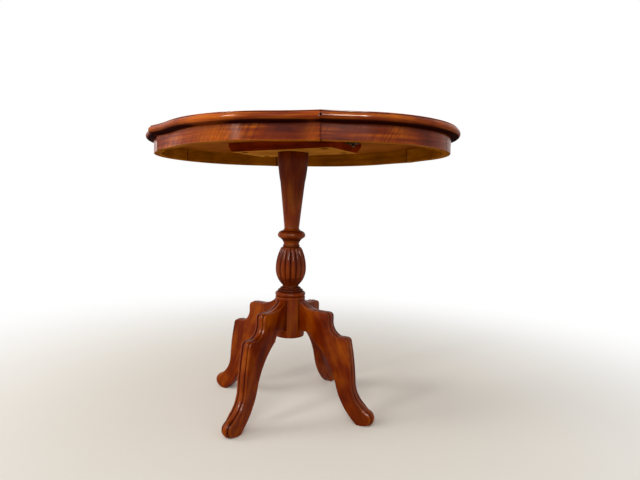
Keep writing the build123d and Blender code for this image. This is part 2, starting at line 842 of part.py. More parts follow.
knob_top = case_bottom - tilt_gap
stem_top = bolt_mid - bolt_height / 2 + knob_stem_in_bolt
with BuildPart() as catch_knob:
    with BuildSketch(Plane.XZ):
        with BuildLine():
            Polyline(
                (0, knob_top - knob_height),
                (knob_waist_radius, knob_top - knob_height),
            )
            ThreePointArc(
                (knob_waist_radius, knob_top - knob_height),
                (knob_radius, knob_top - knob_height / 2),
                (knob_waist_radius, knob_top),
            )
            Polyline(
                (knob_waist_radius, knob_top),
                (knob_stem_radius, knob_top),
                (knob_stem_radius, stem_top),
                (0, stem_top),
                (0, knob_top - knob_height),
            )
        make_face()
    revolve(axis=Axis.Z)
    knob = catch_knob.part.moved(Location((stem_x, 0, 0)))
with BuildPart() as placed_knob:
    add(knob)
save(placed_knob, "catch_knob")
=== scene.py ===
"""Tilt-top pedestal table: carved and moulded woodwork, lacquers, brass and steel.

The table stands in its own axes: the origin on the floor under the pillar, +X along the
top, +Z up. Its sizes are written in millimetres and turned to metres where a mesh or a
material is made. Floor, lamps and camera are in metres.
"""
from math import radians

import bpy
import numpy as np
from mathutils import Matrix


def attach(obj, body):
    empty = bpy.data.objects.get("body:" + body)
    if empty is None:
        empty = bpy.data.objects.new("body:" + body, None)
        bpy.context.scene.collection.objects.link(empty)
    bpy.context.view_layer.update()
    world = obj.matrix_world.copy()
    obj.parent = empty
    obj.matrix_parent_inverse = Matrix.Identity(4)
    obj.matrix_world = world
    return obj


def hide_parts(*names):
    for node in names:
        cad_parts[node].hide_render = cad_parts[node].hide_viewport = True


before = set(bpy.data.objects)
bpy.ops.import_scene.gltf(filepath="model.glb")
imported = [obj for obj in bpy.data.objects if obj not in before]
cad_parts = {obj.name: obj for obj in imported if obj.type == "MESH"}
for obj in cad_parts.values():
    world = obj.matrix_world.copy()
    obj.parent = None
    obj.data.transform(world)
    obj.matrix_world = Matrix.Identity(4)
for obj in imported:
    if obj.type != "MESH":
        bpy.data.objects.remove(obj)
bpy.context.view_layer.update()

# ---------------------------------------------------------------- sizes in millimetres
# A lobe of the skirt's outer face: how far its crown lies from the pillar, the radius of
# the crown, the radius of the curve that turns back to the cusp, and where the cusp lies.
END = dict(reach=394.0, crown=232.0, reverse=525.0, cusp_side=240.0, cusp_out=226.0)
SIDE = dict(reach=300.5, crown=320.0, reverse=565.0, cusp_side=226.0, cusp_out=240.0)
CROWN_SHARE = 0.66  # of the points of half a lobe, how many lie on its crown
TOP_FACE = 700.0
TOP_UNDERSIDE = 679.0
OVERHANG = 20.0  # the moulding past the skirt
LIP = 14.0  # the moulding's upper corner past the skirt
ROUND_RADIUS = 8.7  # the moulding's full round
ROUND_DROP = 10.6  # its centre below the top's face
PIT_DROP = 9.5  # the pit on each mitre, below the top's face
PIT_RADIUS = 3.2
PIT_DEPTH = 1.4
JOINT_DARK = 0.8  # how far from a joint its dark line holds, then how far it fades
JOINT_FADE = 1.6
SKIRT_BOTTOM = 646.0
SKIRT_WALL = 18.0
BLOCK_BOTTOM = 655.0
SCREW_X = 120.0
SCREW_Y = 46.6
HUB_RADIUS = 38.0
HUB_BOTTOM = 184.0
HUB_TOP = 280.0
URN_RADIUS = 39.5
URN_MIDDLE = 360.0
REEDS = 16
REED_POINTS = 16  # across each reed
REED_DEPTH = 4.6
REEDS_START = 318.5
REEDS_END = 412.6
# Quirks are darkened as stain and as painted shade under overhangs:
QUIRK_REACH = 7.0  # how far above or below a quirk its shoulders are looked for
QUIRK_CLEAN = 1.5  # a quirk this shallow takes no stain
QUIRK_DARK = 10.0  # how much deeper one is that takes it all
QUIRKS_START = 195.0
QUIRKS_END = 457.0
LEG_HALF = 14.5  # half of a leg's thickness
GROOVE = 7.7  # each groove of a leg, from the leg's middle
BEAD_START = 9.2  # where the outer bead of a leg starts
# The outer bead's crown is painted palest, as wear and as a painted highlight.
BEAD_CROWN = 12.2  # where that bead is rubbed palest
ROUND_OVER = 2.2  # on the underside's edges
FOOT_HEIGHT = 60.0  # a leg's foot lies below this
TOE_START = 216.0  # reach at which the toe starts to be rounded
WEAR_START = 190.0  # reach at which shoes start to wear the foot
GRAIN_DOWN, GRAIN_OUT = 0.92, 0.38  # the slope of a leg's grain
SECOND_SHOULDER = (178.5, 193.0)
SHIN = (191.5, 96.0)
SHIN_RADIUS = 600.0
INSTEP = (233.0, 38.0)
HEEL = (207.5, 0.0)
CALF = (147.5, 88.0)
CALF_RADIUS = 158.0

# By the way a lobe faces, in degrees from +X: where along it light is painted on, from -1
# to 1, by how much, and where its wood starts in the plank, so that no two runs match.
PAINTED_LIGHT_AT = {0: 0.05, 90: 0.2, 180: 0.3, 270: 0.0}
PAINTED_LIGHT_BY = {0: 0.15, 90: 0.9, 180: 0.9, 270: 0.9}
GRAIN_START = {0: 360.0, 90: 900.0, 180: 1800.0, 270: 3060.0}


# ---------------------------------------------------------------- numbers to meshes
def arc(centre, radius, start, end, count):
    """Points on a circle about centre, from the start angle to the end angle in degrees."""
    turn = np.radians(np.linspace(start, end, count))
    return np.stack([centre[0] + radius * np.cos(turn), centre[1] + radius * np.sin(turn)], 1)


def arc_between(start, end, radius, count):
    """Points on the arc of a radius that joins two points.

    The centre lies beside the chord, at the distance that Pythagoras gives: on the right
    of the way from start to end for a positive radius, on the left for a negative one.
    """
    start, end = np.array(start, float), np.array(end, float)
    chord = end - start
    length = np.hypot(*chord)
    away = np.array([chord[1], -chord[0]]) / length * np.sign(radius)
    centre = (start + end) / 2 + away * np.sqrt(max(radius**2 - length**2 / 4, 0.0))
    first = np.arctan2(*(start - centre)[::-1])
    last = np.arctan2(*(end - centre)[::-1])
    sweep = (last - first + np.pi) % (2 * np.pi) - np.pi
    turn = first + sweep * np.linspace(0, 1, count)
    return centre + abs(radius) * np.stack([np.cos(turn), np.sin(turn)], 1)


def even(points, step):
    """The same line with points about step apart, its corners kept."""
    kept = [points[:1]]
    for first, second in zip(points[:-1], points[1:]):
        count = max(int(np.ceil(np.hypot(*(second - first)) / step)), 1)
        kept.append(first + (second - first) * np.linspace(0, 1, count + 1)[1:, None])
    return np.concatenate(kept)


def along(points):
    """Distance travelled along a line, at each of its points."""
    steps = np.hypot(*np.diff(points, axis=0).T[:2])
    return np.concatenate([[0.0], np.cumsum(steps)])


def quads(rows, columns, closed_rows=False, closed_columns=False):
    """The four-sided faces between neighbouring points of a grid."""
    row = np.arange(rows if closed_rows else rows - 1)[:, None]
    column = np.arange(columns if closed_columns else columns - 1)[None, :]
    next_row, next_column = (row + 1) % rows, (column + 1) % columns
    corners = (
        row * columns + column,
        next_row * columns + column,
        next_row * columns + next_column,
        row * columns + next_column,
    )
    return np.stack(np.broadcast_arrays(*corners), -1).reshape(-1, 4)


def end_caps(rows, columns):
    """The two flat faces that close a tube of rows points round and columns points long."""
    first = np.arange(rows) * columns
    return [first, (first + columns - 1)[::-1]]


def turned(out, side, facing):
    """x and y of what lies out from the pillar and to its side, turned to face an angle."""
    cosine, sine = np.cos(radians(facing)), np.sin(radians(facing))
    return out * cosine - side * sine, out * sine + side * cosine


def make_piece(name, points, faces, caps, place, hollow, materials, body, nodes,
               inside=None, crease=32):
    """A finished piece: points in millimetres, quads, and flat end caps of any length.

    place is each point's position in the wood, in millimetres, its first number along the
    grain. hollow is 1 in the bottom of a groove, where stain collects, 0 on open wood and
    below 0 on edges rubbed pale; on some pieces it also carries painted shade above 0 and
    painted light and highlights below 0. inside marks the quads that take the second
    material, as the caps do then. Edges sharper than crease, in degrees, stay sharp.
    """
    mesh = bpy.data.meshes.new(name)
    mesh.from_pydata((points / 1000).tolist(), [], faces.tolist() + [list(c) for c in caps])
    if inside is not None:
        index = np.zeros(len(mesh.polygons), dtype=np.int32)
        index[: len(faces)] = inside
        index[len(faces) :] = 1
        mesh.polygons.foreach_set("material_index", index)
    mesh.polygons.foreach_set("use_smooth", np.ones(len(mesh.polygons), dtype=bool))
    mesh.set_sharp_from_angle(angle=radians(crease))
    wood = mesh.attributes.new("place", "FLOAT_VECTOR", "POINT")
    wood.data.foreach_set("vector", (place / 1000).astype(np.float32).ravel())
    dark = mesh.attributes.new("hollow", "FLOAT", "POINT")
    dark.data.foreach_set("value", hollow.astype(np.float32).ravel())
    for material in materials:
        mesh.materials.append(material)
    mesh.validate()
    piece = bpy.data.objects.new(name, mesh)
    bpy.context.scene.collection.objects.link(piece)
    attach(piece, body)
    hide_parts(*nodes)
    return piece


# ---------------------------------------------------------------- node helper and colours
def srgb(code):
    """Linear colour of an sRGB hex code."""
    part = np.array([int(code[i : i + 2], 16) for i in (0, 2, 4)]) / 255
    linear = np.where(part <= 0.04045, part / 12.92, ((part + 0.055) / 1.055) ** 2.4)
    return (*linear.tolist(), 1.0)


def add(tree, kind, inputs=(), **settings):
    """A node of a kind. inputs gives each socket, by name or number, a value or a source."""
    node = tree.nodes.new(kind)
    for name, value in settings.items():
        setattr(node, name, value)
    for socket, value in dict(inputs).items():
        if isinstance(value, bpy.types.NodeSocket):
            tree.links.new(value, node.inputs[socket])
        else:
            node.inputs[socket].default_value = value
    return node


def blank(name):
    """A new material, and its node tree with nothing in it."""
    material = bpy.data.materials.new(name)
    material.use_nodes = True
    material.node_tree.nodes.clear()
    return material, material.node_tree


def per(millimetres):
    """Repeats per metre of something this many millimetres long."""
    return 1000.0 / millimetres


FIBRE = (26, 1.6)  # length along the grain and width across it, in millimetres
TOOTH_HEIGHT = 0.0006  # of the fibres, in metres
COAT_ROUGHNESS = 0.13
TARNISH_SPOTS = 6.0  # millimetres across
TARNISH_HEIGHT = 0.0002  # of the spots, in metres


def grained_wood(name, pale, middle, dark, stain, figure, own_place=True, ribbon=None,
                 pores=0.25, drift=95.0, dullness=0.3, lacquer=0.0, glint=0.02, tooth=0.12,
                 under=None, hole_shade_and_stain=None):
    """Wood with clouds, figure, ribbon, fibres and pores, under a finish.

    Every streak is noise stretched to a (length along the grain, width across it) in mm,
    and drift is the size of the clouds. ribbon is (strength, length, width, degrees that it
    leans off the grain). dullness is the roughness of the wood itself, glint its specular
    level, lacquer how much clear coat lies on it, and tooth how far the fibres stand up.
    under is (height in mm, dark, pale) for a face left unlacquered in other colours below
    that height. hole_shade_and_stain is (x, y, radius in mm, colour) of a round dark patch
    about a screw hole, painted shade of the hole over stain in its end grain, the same in
    all four quarters. own_place takes place and hollow from the mesh; without it the grain
    follows the part's own axes and nothing is hollow.
    """
    material, tree = blank(name)
    if own_place:
        place = add(tree, "ShaderNodeAttribute", attribute_name="place").outputs["Vector"]
        hollow = add(tree, "ShaderNodeAttribute", attribute_name="hollow").outputs["Fac"]
    else:
        place = add(tree, "ShaderNodeTexCoord").outputs["Object"]

    def spread(value, low, high, to_low=0.0, to_high=1.0):
        return add(tree, "ShaderNodeMapRange", {
            "Value": value, "From Min": low, "From Max": high,
            "To Min": to_low, "To Max": to_high}).outputs[0]

    def blend(share, first, second):
        return add(tree, "ShaderNodeMix", {0: share, 6: first, 7: second},
                   data_type="RGBA").outputs[2]

    def streaks(length, width, detail, distortion, lean=0.0):
        squeezed = add(tree, "ShaderNodeMapping", {
            "Vector": place, "Rotation": (0, 0, radians(lean)),
            "Scale": (length / 1000, width / 1000, width / 1000)}, vector_type="TEXTURE")
        return add(tree, "ShaderNodeTexNoise", {
            "Vector": squeezed.outputs[0], "Scale": 1.0, "Detail": detail,
            "Roughness": 0.6, "Distortion": distortion}).outputs[0]

    clouds = add(tree, "ShaderNodeTexNoise", {
        "Vector": place, "Scale": per(drift), "Detail": 2.0}).outputs[0]
    bands = streaks(*figure, detail=4.0, distortion=0.6)
    threads = streaks(*FIBRE, detail=2.0, distortion=0.2)
    # Each noise keeps near a half, so their sum is stretched about 1 to the whole range.
    mixed = add(tree, "ShaderNodeMath", {0: clouds, 1: bands}, operation="ADD").outputs[0]
    share = spread(mixed, 0.72, 1.28)
    colour = blend(spread(share, 0.0, 0.5), srgb(dark), srgb(middle))
    colour = blend(spread(share, 0.5, 1.0), colour, srgb(pale))
    lines = spread(threads, 0.30, 0.52, pores, 0.0)
    colour = blend(lines, colour, srgb(stain))
    roughness = spread(bands, 0.3, 0.7, dullness + 0.06, dullness - 0.06)
    if under:
        limit, bare_dark, bare_pale = under
        height = add(tree, "ShaderNodeSeparateXYZ", {0: place}).outputs["Z"]
        below = spread(height, (limit - 0.2) / 1000, (limit + 0.2) / 1000, 1.0, 0.0)
        bare = blend(share, srgb(bare_dark), srgb(bare_pale))
        bare = blend(lines, bare, srgb(bare_dark))
        colour = blend(below, colour, bare)
        roughness = add(tree, "ShaderNodeMix", {0: below, 2: roughness, 3: 0.95}).outputs[0]
        lacquer = spread(below, 0.0, 1.0, lacquer, 0.0)
    # A dark patch about each screw hole: painted shade of the hole, over stain in its end
    # grain.
    if hole_shade_and_stain:
        hole_x, hole_y, radius, hole_patch_colour = hole_shade_and_stain
        quarter = add(tree, "ShaderNodeVectorMath", {0: place}, operation="ABSOLUTE")
        flat = add(tree, "ShaderNodeVectorMath", {0: quarter.outputs[0], 1: (1, 1, 0)},
                   operation="MULTIPLY")
        away = add(tree, "ShaderNodeVectorMath", {
            0: flat.outputs[0], 1: (hole_x / 1000, hole_y / 1000, 0)},
            operation="DISTANCE").outputs["Value"]
        near_hole = spread(away, radius / 1000 * 0.85, radius / 1000, 1.0, 0.0)
        colour = blend(near_hole, colour, srgb(hole_patch_colour))
    if own_place:
        # Below 0: paler wood, for wear and, on some pieces, painted light and highlights.
        colour = blend(spread(hollow, -1.0, 0.0, 0.6, 0.0), colour, srgb(pale))
    if ribbon:
        strength, length, width, lean = ribbon
        stripes = spread(streaks(length, width, 2.0, 0.5, lean), 0.40, 0.56, strength, 0.0)
        shown = spread(clouds, 0.44, 0.56, 0.4, 1.0)
        stripes = add(tree, "ShaderNodeMath", {0: stripes, 1: shown}, operation="MULTIPLY")
        colour = blend(stripes.outputs[0], colour, srgb(dark))
    if own_place:
        # Above 0: the stain colour, for stain in grooves and, on some pieces, painted shade.
        colour = blend(spread(hollow, 0.05, 1.0), colour, srgb(stain))
        lacquer = spread(hollow, 0.1, 0.9, lacquer, 0.0)
        roughness = add(tree, "ShaderNodeMix", {
            0: spread(hollow, 0.1, 0.8), 2: roughness, 3: 0.9}).outputs[0]
    relief = add(tree, "ShaderNodeMath", {0: threads, 1: bands}, operation="ADD").outputs[0]
    bump = add(tree, "ShaderNodeBump", {
        "Height": relief, "Strength": tooth, "Distance": TOOTH_HEIGHT}).outputs[0]
    surface = add(tree, "ShaderNodeBsdfPrincipled", {
        "Base Color": colour, "Roughness": roughness, "Normal": bump,
        "Specular IOR Level": glint, "Coat Weight": lacquer,
        "Coat Roughness": COAT_ROUGHNESS})
    add(tree, "ShaderNodeOutputMaterial", {"Surface": surface.outputs[0]})
    return material


def old_metal(name, bright, dull, metallic, roughness):
    """Small metal fittings: bright metal under rougher patches of dull tarnish."""
    material, tree = blank(name)
    place = add(tree, "ShaderNodeTexCoord").outputs["Object"]
    patches = add(tree, "ShaderNodeTexNoise", {
        "Vector": place, "Scale": per(TARNISH_SPOTS), "Detail": 3.0}).outputs[0]
    share = add(tree, "ShaderNodeMapRange", {
        "Value": patches, "From Min": 0.38, "From Max": 0.62}).outputs[0]
    colour = add(tree, "ShaderNodeMix", {0: share, 6: srgb(bright), 7: srgb(dull)},
                 data_type="RGBA").outputs[2]
    matt = add(tree, "ShaderNodeMapRange", {
        "Value": share, "To Min": roughness, "To Max": roughness + 0.2}).outputs[0]
    bump = add(tree, "ShaderNodeBump", {
        "Height": patches, "Strength": 0.15, "Distance": TARNISH_HEIGHT}).outputs[0]
    surface = add(tree, "ShaderNodeBsdfPrincipled", {
        "Base Color": colour, "Roughness": matt, "Normal": bump, "Metallic": metallic})
    add(tree, "ShaderNodeOutputMaterial", {"Surface": surface.outputs[0]})
    return material


# ---------------------------------------------------------------- finishes
# Turned beech, stained red and lacquered: close even grain that runs up the pillar, warm
# orange in its clouds and where light is painted on, near black where stain gathered in
# quirks and reeds and where shade is painted under the top and the collar.
turned_wood = grained_wood(
    "lacquered_turned_beech", "9A4C04", "7C2C00", "5E1C00", "1A0200", figure=(200, 20),
    pores=0.14, drift=150.0, lacquer=0.14)
# Carved beech under the same lacquer: a bolder figure that follows each leg, dark grooves,
# and edges painted paler, as wear rubbed through and as a painted highlight.
carved_wood = grained_wood(
    "lacquered_carved_beech", "9C4802", "722400", "521400", "1E0300", figure=(130, 24),
    pores=0.16, drift=70.0, lacquer=0.15)
# Run moulding, stained paler and polished hardest: long fine streaks round the rim.
edge_wood = grained_wood(
    "lacquered_moulded_edge", "D87008", "9C3E02", "6A1C00", "240400", figure=(140, 5),
    dullness=0.24, lacquer=0.2)
# Sliced ribbon veneer: orange and red-brown stripes that lean across a straight grain.
skirt_veneer = grained_wood(
    "lacquered_ribbon_veneer", "CC6600", "863000", "541400", "300600", figure=(150, 9),
    ribbon=(0.5, 60, 4.2, -62), drift=90.0, dullness=0.24, lacquer=0.22)
# Flat veneer, polished as the rim is, with a slow cathedral figure along the top. Its
# underside is only stained.
top_veneer = grained_wood(
    "lacquered_top_veneer", "AC5006", "8C3404", "6A1E02", "3A0A00", own_place=False,
    figure=(300, 11), ribbon=(0.25, 60, 6, 62), drift=150.0, dullness=0.22, lacquer=0.16,
    under=(TOP_UNDERSIDE + 1.0, "703402", "A25C14"))
# Planed pine left raw inside the skirt: yellow-brown, darkened by age, with no shine.
raw_softwood = grained_wood(
    "raw_pine_inside_skirt", "A86608", "925402", "784402", "341A02", figure=(120, 9),
    pores=0.3, dullness=0.9, tooth=0.4)
# Pine bearers stained red on their faces and left pale underneath, with a dark patch
# about each screw hole: painted shade of the hole over stain in its end grain.
bearer_finish = grained_wood(
    "stained_pine_bearer", "903006", "6E2002", "4C1200", "240500", own_place=False,
    figure=(140, 8), dullness=0.6, glint=0.0,
    under=(BLOCK_BOTTOM + 0.9, "925812", "C88438"), hole_shade_and_stain=(SCREW_X, SCREW_Y, 9.5, "200A04"))
# Beech pegs and wedge as cut: pale, dry and even.
bare_beech = grained_wood(
    "bare_beech", "C49A66", "AE8250", "936A3E", "6E4A28", own_place=False, figure=(90, 9),
    dullness=0.65, glint=0.2, tooth=0.3)
# Cast and drawn brass gone brown with age: dull gold where fingers rub it, near black
# where they don't.
tarnished_brass = old_metal("tarnished_brass", "664416", "22140A", 0.8, 0.52)
# Turned steel, once zinc plated: grey with dull brown spots.
dull_steel = old_metal("dull_steel", "5A544C", "2A221C", 1.0, 0.42)


# ---------------------------------------------------------------- lobed outline
def lobe_facts(lobe):
    """Crown centre, reverse centre and blend angle of a lobe.

    The reverse circle touches the crown circle from outside and passes through the cusp:
    the triangle crown centre, reverse centre, cusp has the sides crown + reverse, reverse
    and the span to the cusp, and its cosine rule gives the blend.
    """
    crown_out = lobe["reach"] - lobe["crown"]
    span = np.hypot(lobe["cusp_side"], lobe["cusp_out"] - crown_out)
    centres = lobe["crown"] + lobe["reverse"]
    bend = np.arccos((centres**2 + span**2 - lobe["reverse"] ** 2) / (2 * centres * span))
    blend = np.arctan2(lobe["cusp_side"], lobe["cusp_out"] - crown_out) - bend
    return crown_out, crown_out + centres * np.cos(blend), centres * np.sin(blend), blend


def cusp_at(offset):
    """(x, y) of the cusp between +X and +Y at offsets from the skirt's face.

    Where the two reverse circles, shrunk by the offset, meet on the pillar's side.
    """
    _, end_out, end_side, _ = lobe_facts(END)
    _, side_out, side_side, _ = lobe_facts(SIDE)
    start, finish = np.array([end_out, end_side]), np.array([side_side, side_out])
    near, far = END["reverse"] - offset, SIDE["reverse"] - offset
    gap = np.hypot(*(finish - start))
    run = (gap**2 + near**2 - far**2) / (2 * gap)
    rise = np.sqrt(near**2 - run**2)
    forward = (finish - start) / gap
    across = np.array([-forward[1], forward[0]])
    if across @ start > 0:
        across = -across
    point = start[:, None] + forward[:, None] * run + across[:, None] * rise
    return point[0], point[1]


def lobe_line(facing, offset, share):
    """Points of a lobe for every pairing of offset (rows) and share (columns).

    share runs from -1 at one cusp through 0 at the crown to 1 at the other. Inside the
    blend the point turns about the crown's centre at radius crown + offset; beyond it, the
    point turns back about the reverse centre at radius reverse - offset, to the cusp.
    """
    lobe = END if facing in (0, 180) else SIDE
    crown_out, reverse_out, reverse_side, blend = lobe_facts(lobe)
    offset, share = np.asarray(offset, float)[:, None], np.asarray(share, float)[None, :]
    cusp_x, cusp_y = cusp_at(offset[:, 0])
    cusp_out, cusp_side = (cusp_x, cusp_y) if facing in (0, 180) else (cusp_y, cusp_x)
    part = np.abs(share)
    turn = blend * np.minimum(part / CROWN_SHARE, 1)
    crown = lobe["crown"] + offset
    out, side = crown_out + crown * np.cos(turn), crown * np.sin(turn)
    first = blend + np.pi
    last = np.arctan2(cusp_side - reverse_side, cusp_out - reverse_out)[:, None] % (2 * np.pi)
    turn = first + (last - first) * np.clip((part - CROWN_SHARE) / (1 - CROWN_SHARE), 0, 1)
    reverse = lobe["reverse"] - offset
    beyond = part > CROWN_SHARE
    out = np.where(beyond, reverse_out + reverse * np.cos(turn), out)
    side = np.where(beyond, reverse_side + reverse * np.sin(turn), side) * np.sign(share)
    return turned(out, side, facing)


def run_along_lobe(name, facing, share, section, stain, joint, node, materials,
                   inside=None, pit=None, lit_and_worn=0.0, closing_gap=0.15):
    """A closed section of (offset, height) carried along a lobe, its ends closed flat.

    stain is how dark each point of the section is, with stain, wear and painted shade
    alike, joint how dark it is at both ends, and lit_and_worn how much paler each point of
    the run is, with painted light and wear. Each end is drawn back by the closing gap, so
    that no two runs touch. pit is the height of a shallow round hollow worked into the
    mitres: a point that lies closer than its radius moves towards the pillar by the depth
    times one less the square of its share of that radius.
    """
    x, y = lobe_line(facing, section[:, 0], share)
    points = np.stack([x, y, np.broadcast_to(section[:, 1:], x.shape)], -1)
    for end, neighbour in ((0, 1), (-1, -2)):
        step = points[:, neighbour] - points[:, end]
        points[:, end] += step / np.linalg.norm(step, axis=1, keepdims=True) * closing_gap
    rows, columns = x.shape
    travel = along(np.stack(lobe_line(facing, [0.0], share), -1)[0])
    round_way = along(np.vstack([section, section[:1]]))[:-1]
    place = np.stack(np.broadcast_arrays(
        travel + GRAIN_START[facing], round_way[:, None], float(facing)), -1)
    dark = np.broadcast_to(stain[:, None], x.shape) - lit_and_worn
    from_joint = np.minimum(travel, travel[-1] - travel)
    joint_line = joint[:, None] * np.clip(1 - (from_joint - JOINT_DARK) / JOINT_FADE, 0, 1)
    dark = np.where(joint_line > 0, np.maximum(dark, joint_line), dark)
    if pit is not None:
        away = np.hypot(from_joint[None, :], section[:, 1:] - pit) / PIT_RADIUS
        sunk = np.clip(1 - away**2, 0, 1) * (section[:, :1] > LIP)
        from_pillar = np.hypot(points[..., 0], points[..., 1])
        points[..., :2] *= 1 - (PIT_DEPTH * sunk / from_pillar)[..., None]
        dark = np.where(sunk > 0, np.maximum(dark, np.minimum(3 * sunk, 1)), dark)
    marks = None if inside is None else np.repeat(inside, columns - 1)
    return make_piece(
        name, points.reshape(-1, 3), quads(rows, columns, closed_rows=True),
        end_caps(rows, columns), place.reshape(-1, 3), dark.ravel(), materials, "top",
        [node], marks)


def near_ends(start, end, count):
    """Shares from start to end with a few extra close to both ends."""
    spread = np.linspace(start, end, count)
    close = np.array([0, 0.003, 0.006, 0.01])
    return np.concatenate([start + close, spread[1:-1], end - close[::-1]])


def painted_light_and_wear(facing, share):
    """How much paler a lobe's run is, with painted light and with wear.

    A wide bell curve of painted light at one place of the run, e to the power of less the
    squared distance in widths, and a narrow one where hands wear the run beside a cusp.
    """
    width, worn_at, worn_width, worn_by = 0.26, 0.94, 0.06, 0.5
    wide = PAINTED_LIGHT_BY[facing] * np.exp(-(((share - PAINTED_LIGHT_AT[facing]) / width) ** 2))
    return wide + worn_by * np.exp(-(((share - worn_at) / worn_width) ** 2))


# Moulded edge: flat border, eased lip, a full round, and a cove over the skirt. How dark
# each point is goes by the way travelled round the section from the border's inner lower
# corner: stain in the quirk under the lip, the lip rubbed pale, and painted shade over
# the lower half of the round and the cove.
edge_section = np.concatenate([
    [[-SKIRT_WALL, TOP_UNDERSIDE], [-SKIRT_WALL, TOP_FACE]],
    even(np.array([[-SKIRT_WALL + 1, TOP_FACE], [LIP - 1, TOP_FACE]]), 4),
    arc((LIP - 0.9, TOP_FACE - 0.9), 0.9, 80, 0, 5),
    [[LIP, TOP_FACE - 1.7], [LIP + 0.3, TOP_FACE - 2.1], [LIP + 0.9, TOP_FACE - 2.1]],
    arc((OVERHANG - 0.1 - ROUND_RADIUS, TOP_FACE - ROUND_DROP), ROUND_RADIUS, 66, -84, 27),
    [[LIP - 2.6, TOP_UNDERSIDE + 1.8], [LIP - 4.2, TOP_UNDERSIDE + 2.6]],
    arc_between((LIP - 4.6, TOP_UNDERSIDE + 3), (LIP - 9, TOP_UNDERSIDE), -5, 8),
])
# Painted shade darkens the round from its middle down, and the cove below it.
edge_stain_and_shade = np.interp(
    along(edge_section), [0, 51.5, 52.8, 53.6, 54.4, 55.8, 57.5, 64, 70, 75, 79, 88],
    [0, 0, -0.4, -0.3, 0.8, 0.8, 0, 0, 0.35, 0.9, 1, 1])
edge_joint = np.full(len(edge_section), 0.3)
edges = {"edge_right": 0, "edge_back": 90, "edge_left": 180, "edge_front": 270}
for node, facing in edges.items():
    shares = near_ends(-1, 1, 121)
    # Painted light and wear make parts of each run paler; the whole run is darkened a little.
    run_along_lobe(
        f"moulded_{node}", facing, shares, edge_section, edge_stain_and_shade, edge_joint,
        node, [edge_wood], pit=TOP_FACE - PIT_DROP,
        lit_and_worn=0.5 * painted_light_and_wear(facing, shares) - 0.16)

# Skirt: veneer on the outer face, raw wood underneath and inside. On the outer face, by
# height, the bottom edge is rubbed pale and painted shade darkens the band under the
# moulding, darkest at the joint.
skirt_section = np.concatenate([
    even(np.array([[0, TOP_UNDERSIDE], [0, SKIRT_BOTTOM + 2.2]]), 4),
    [[0, SKIRT_BOTTOM + 0.7], [-0.25, SKIRT_BOTTOM + 0.2], [-0.7, SKIRT_BOTTOM]],
    [[-SKIRT_WALL + 0.6, SKIRT_BOTTOM], [-SKIRT_WALL, SKIRT_BOTTOM + 0.6]],
    even(np.array([[-SKIRT_WALL, SKIRT_BOTTOM + 4], [-SKIRT_WALL, TOP_UNDERSIDE]]), 4),
])
skirt_raw = skirt_section[:, 0] < -0.5
# Painted shade under the moulding; the bottom edge rubbed pale.
skirt_wear_and_shade = np.where(skirt_raw, 0.0, np.interp(
    skirt_section[:, 1], [646, 647, 648.2, 672, 677, 679], [-0.6, -0.4, 0, 0, 0.35, 0.8]))
skirt_joint = np.where(skirt_raw, 0.95, 0.55)
skirts = {
    "skirt_back": (90, -1, 1), "skirt_front": (270, -1, 1),
    "skirt_right_front": (0, -1, 0), "skirt_right_back": (0, 0, 1),
    "skirt_left_back": (180, -1, 0), "skirt_left_front": (180, 0, 1),
}
for node, (facing, start, end) in skirts.items():
    shares = near_ends(start, end, 50 + 50 * (end - start))
    # Painted light and wear make parts of the veneer paler.
    run_along_lobe(
        f"veneered_{node}", facing, shares, skirt_section, skirt_wear_and_shade, skirt_joint,
        node, [skirt_veneer, raw_softwood], inside=skirt_raw,
        lit_and_worn=np.where(skirt_raw, 0, 1)[:, None] * painted_light_and_wear(facing, shares),
        closing_gap=0.1)


# ---------------------------------------------------------------- pillar
def bead(radius, bottom, top, count=11):
    """Half-round bead from bottom to top that reaches out to radius."""
    half = (top - bottom) / 2
    return arc((radius - half, bottom + half), half, -90, 90, count)


def upright_arc(radius, end_radius, middle, rise, count):
    """The urn's side: an arc upright at its widest, ending rise above or below it."""
    inset = radius - end_radius
    swing = (inset**2 + rise**2) / (2 * inset)
    turn = np.arcsin(rise / swing) * np.linspace(0, 1, count)
    return np.stack([radius - swing + swing * np.cos(turn), middle + swing * np.sin(turn)], 1)


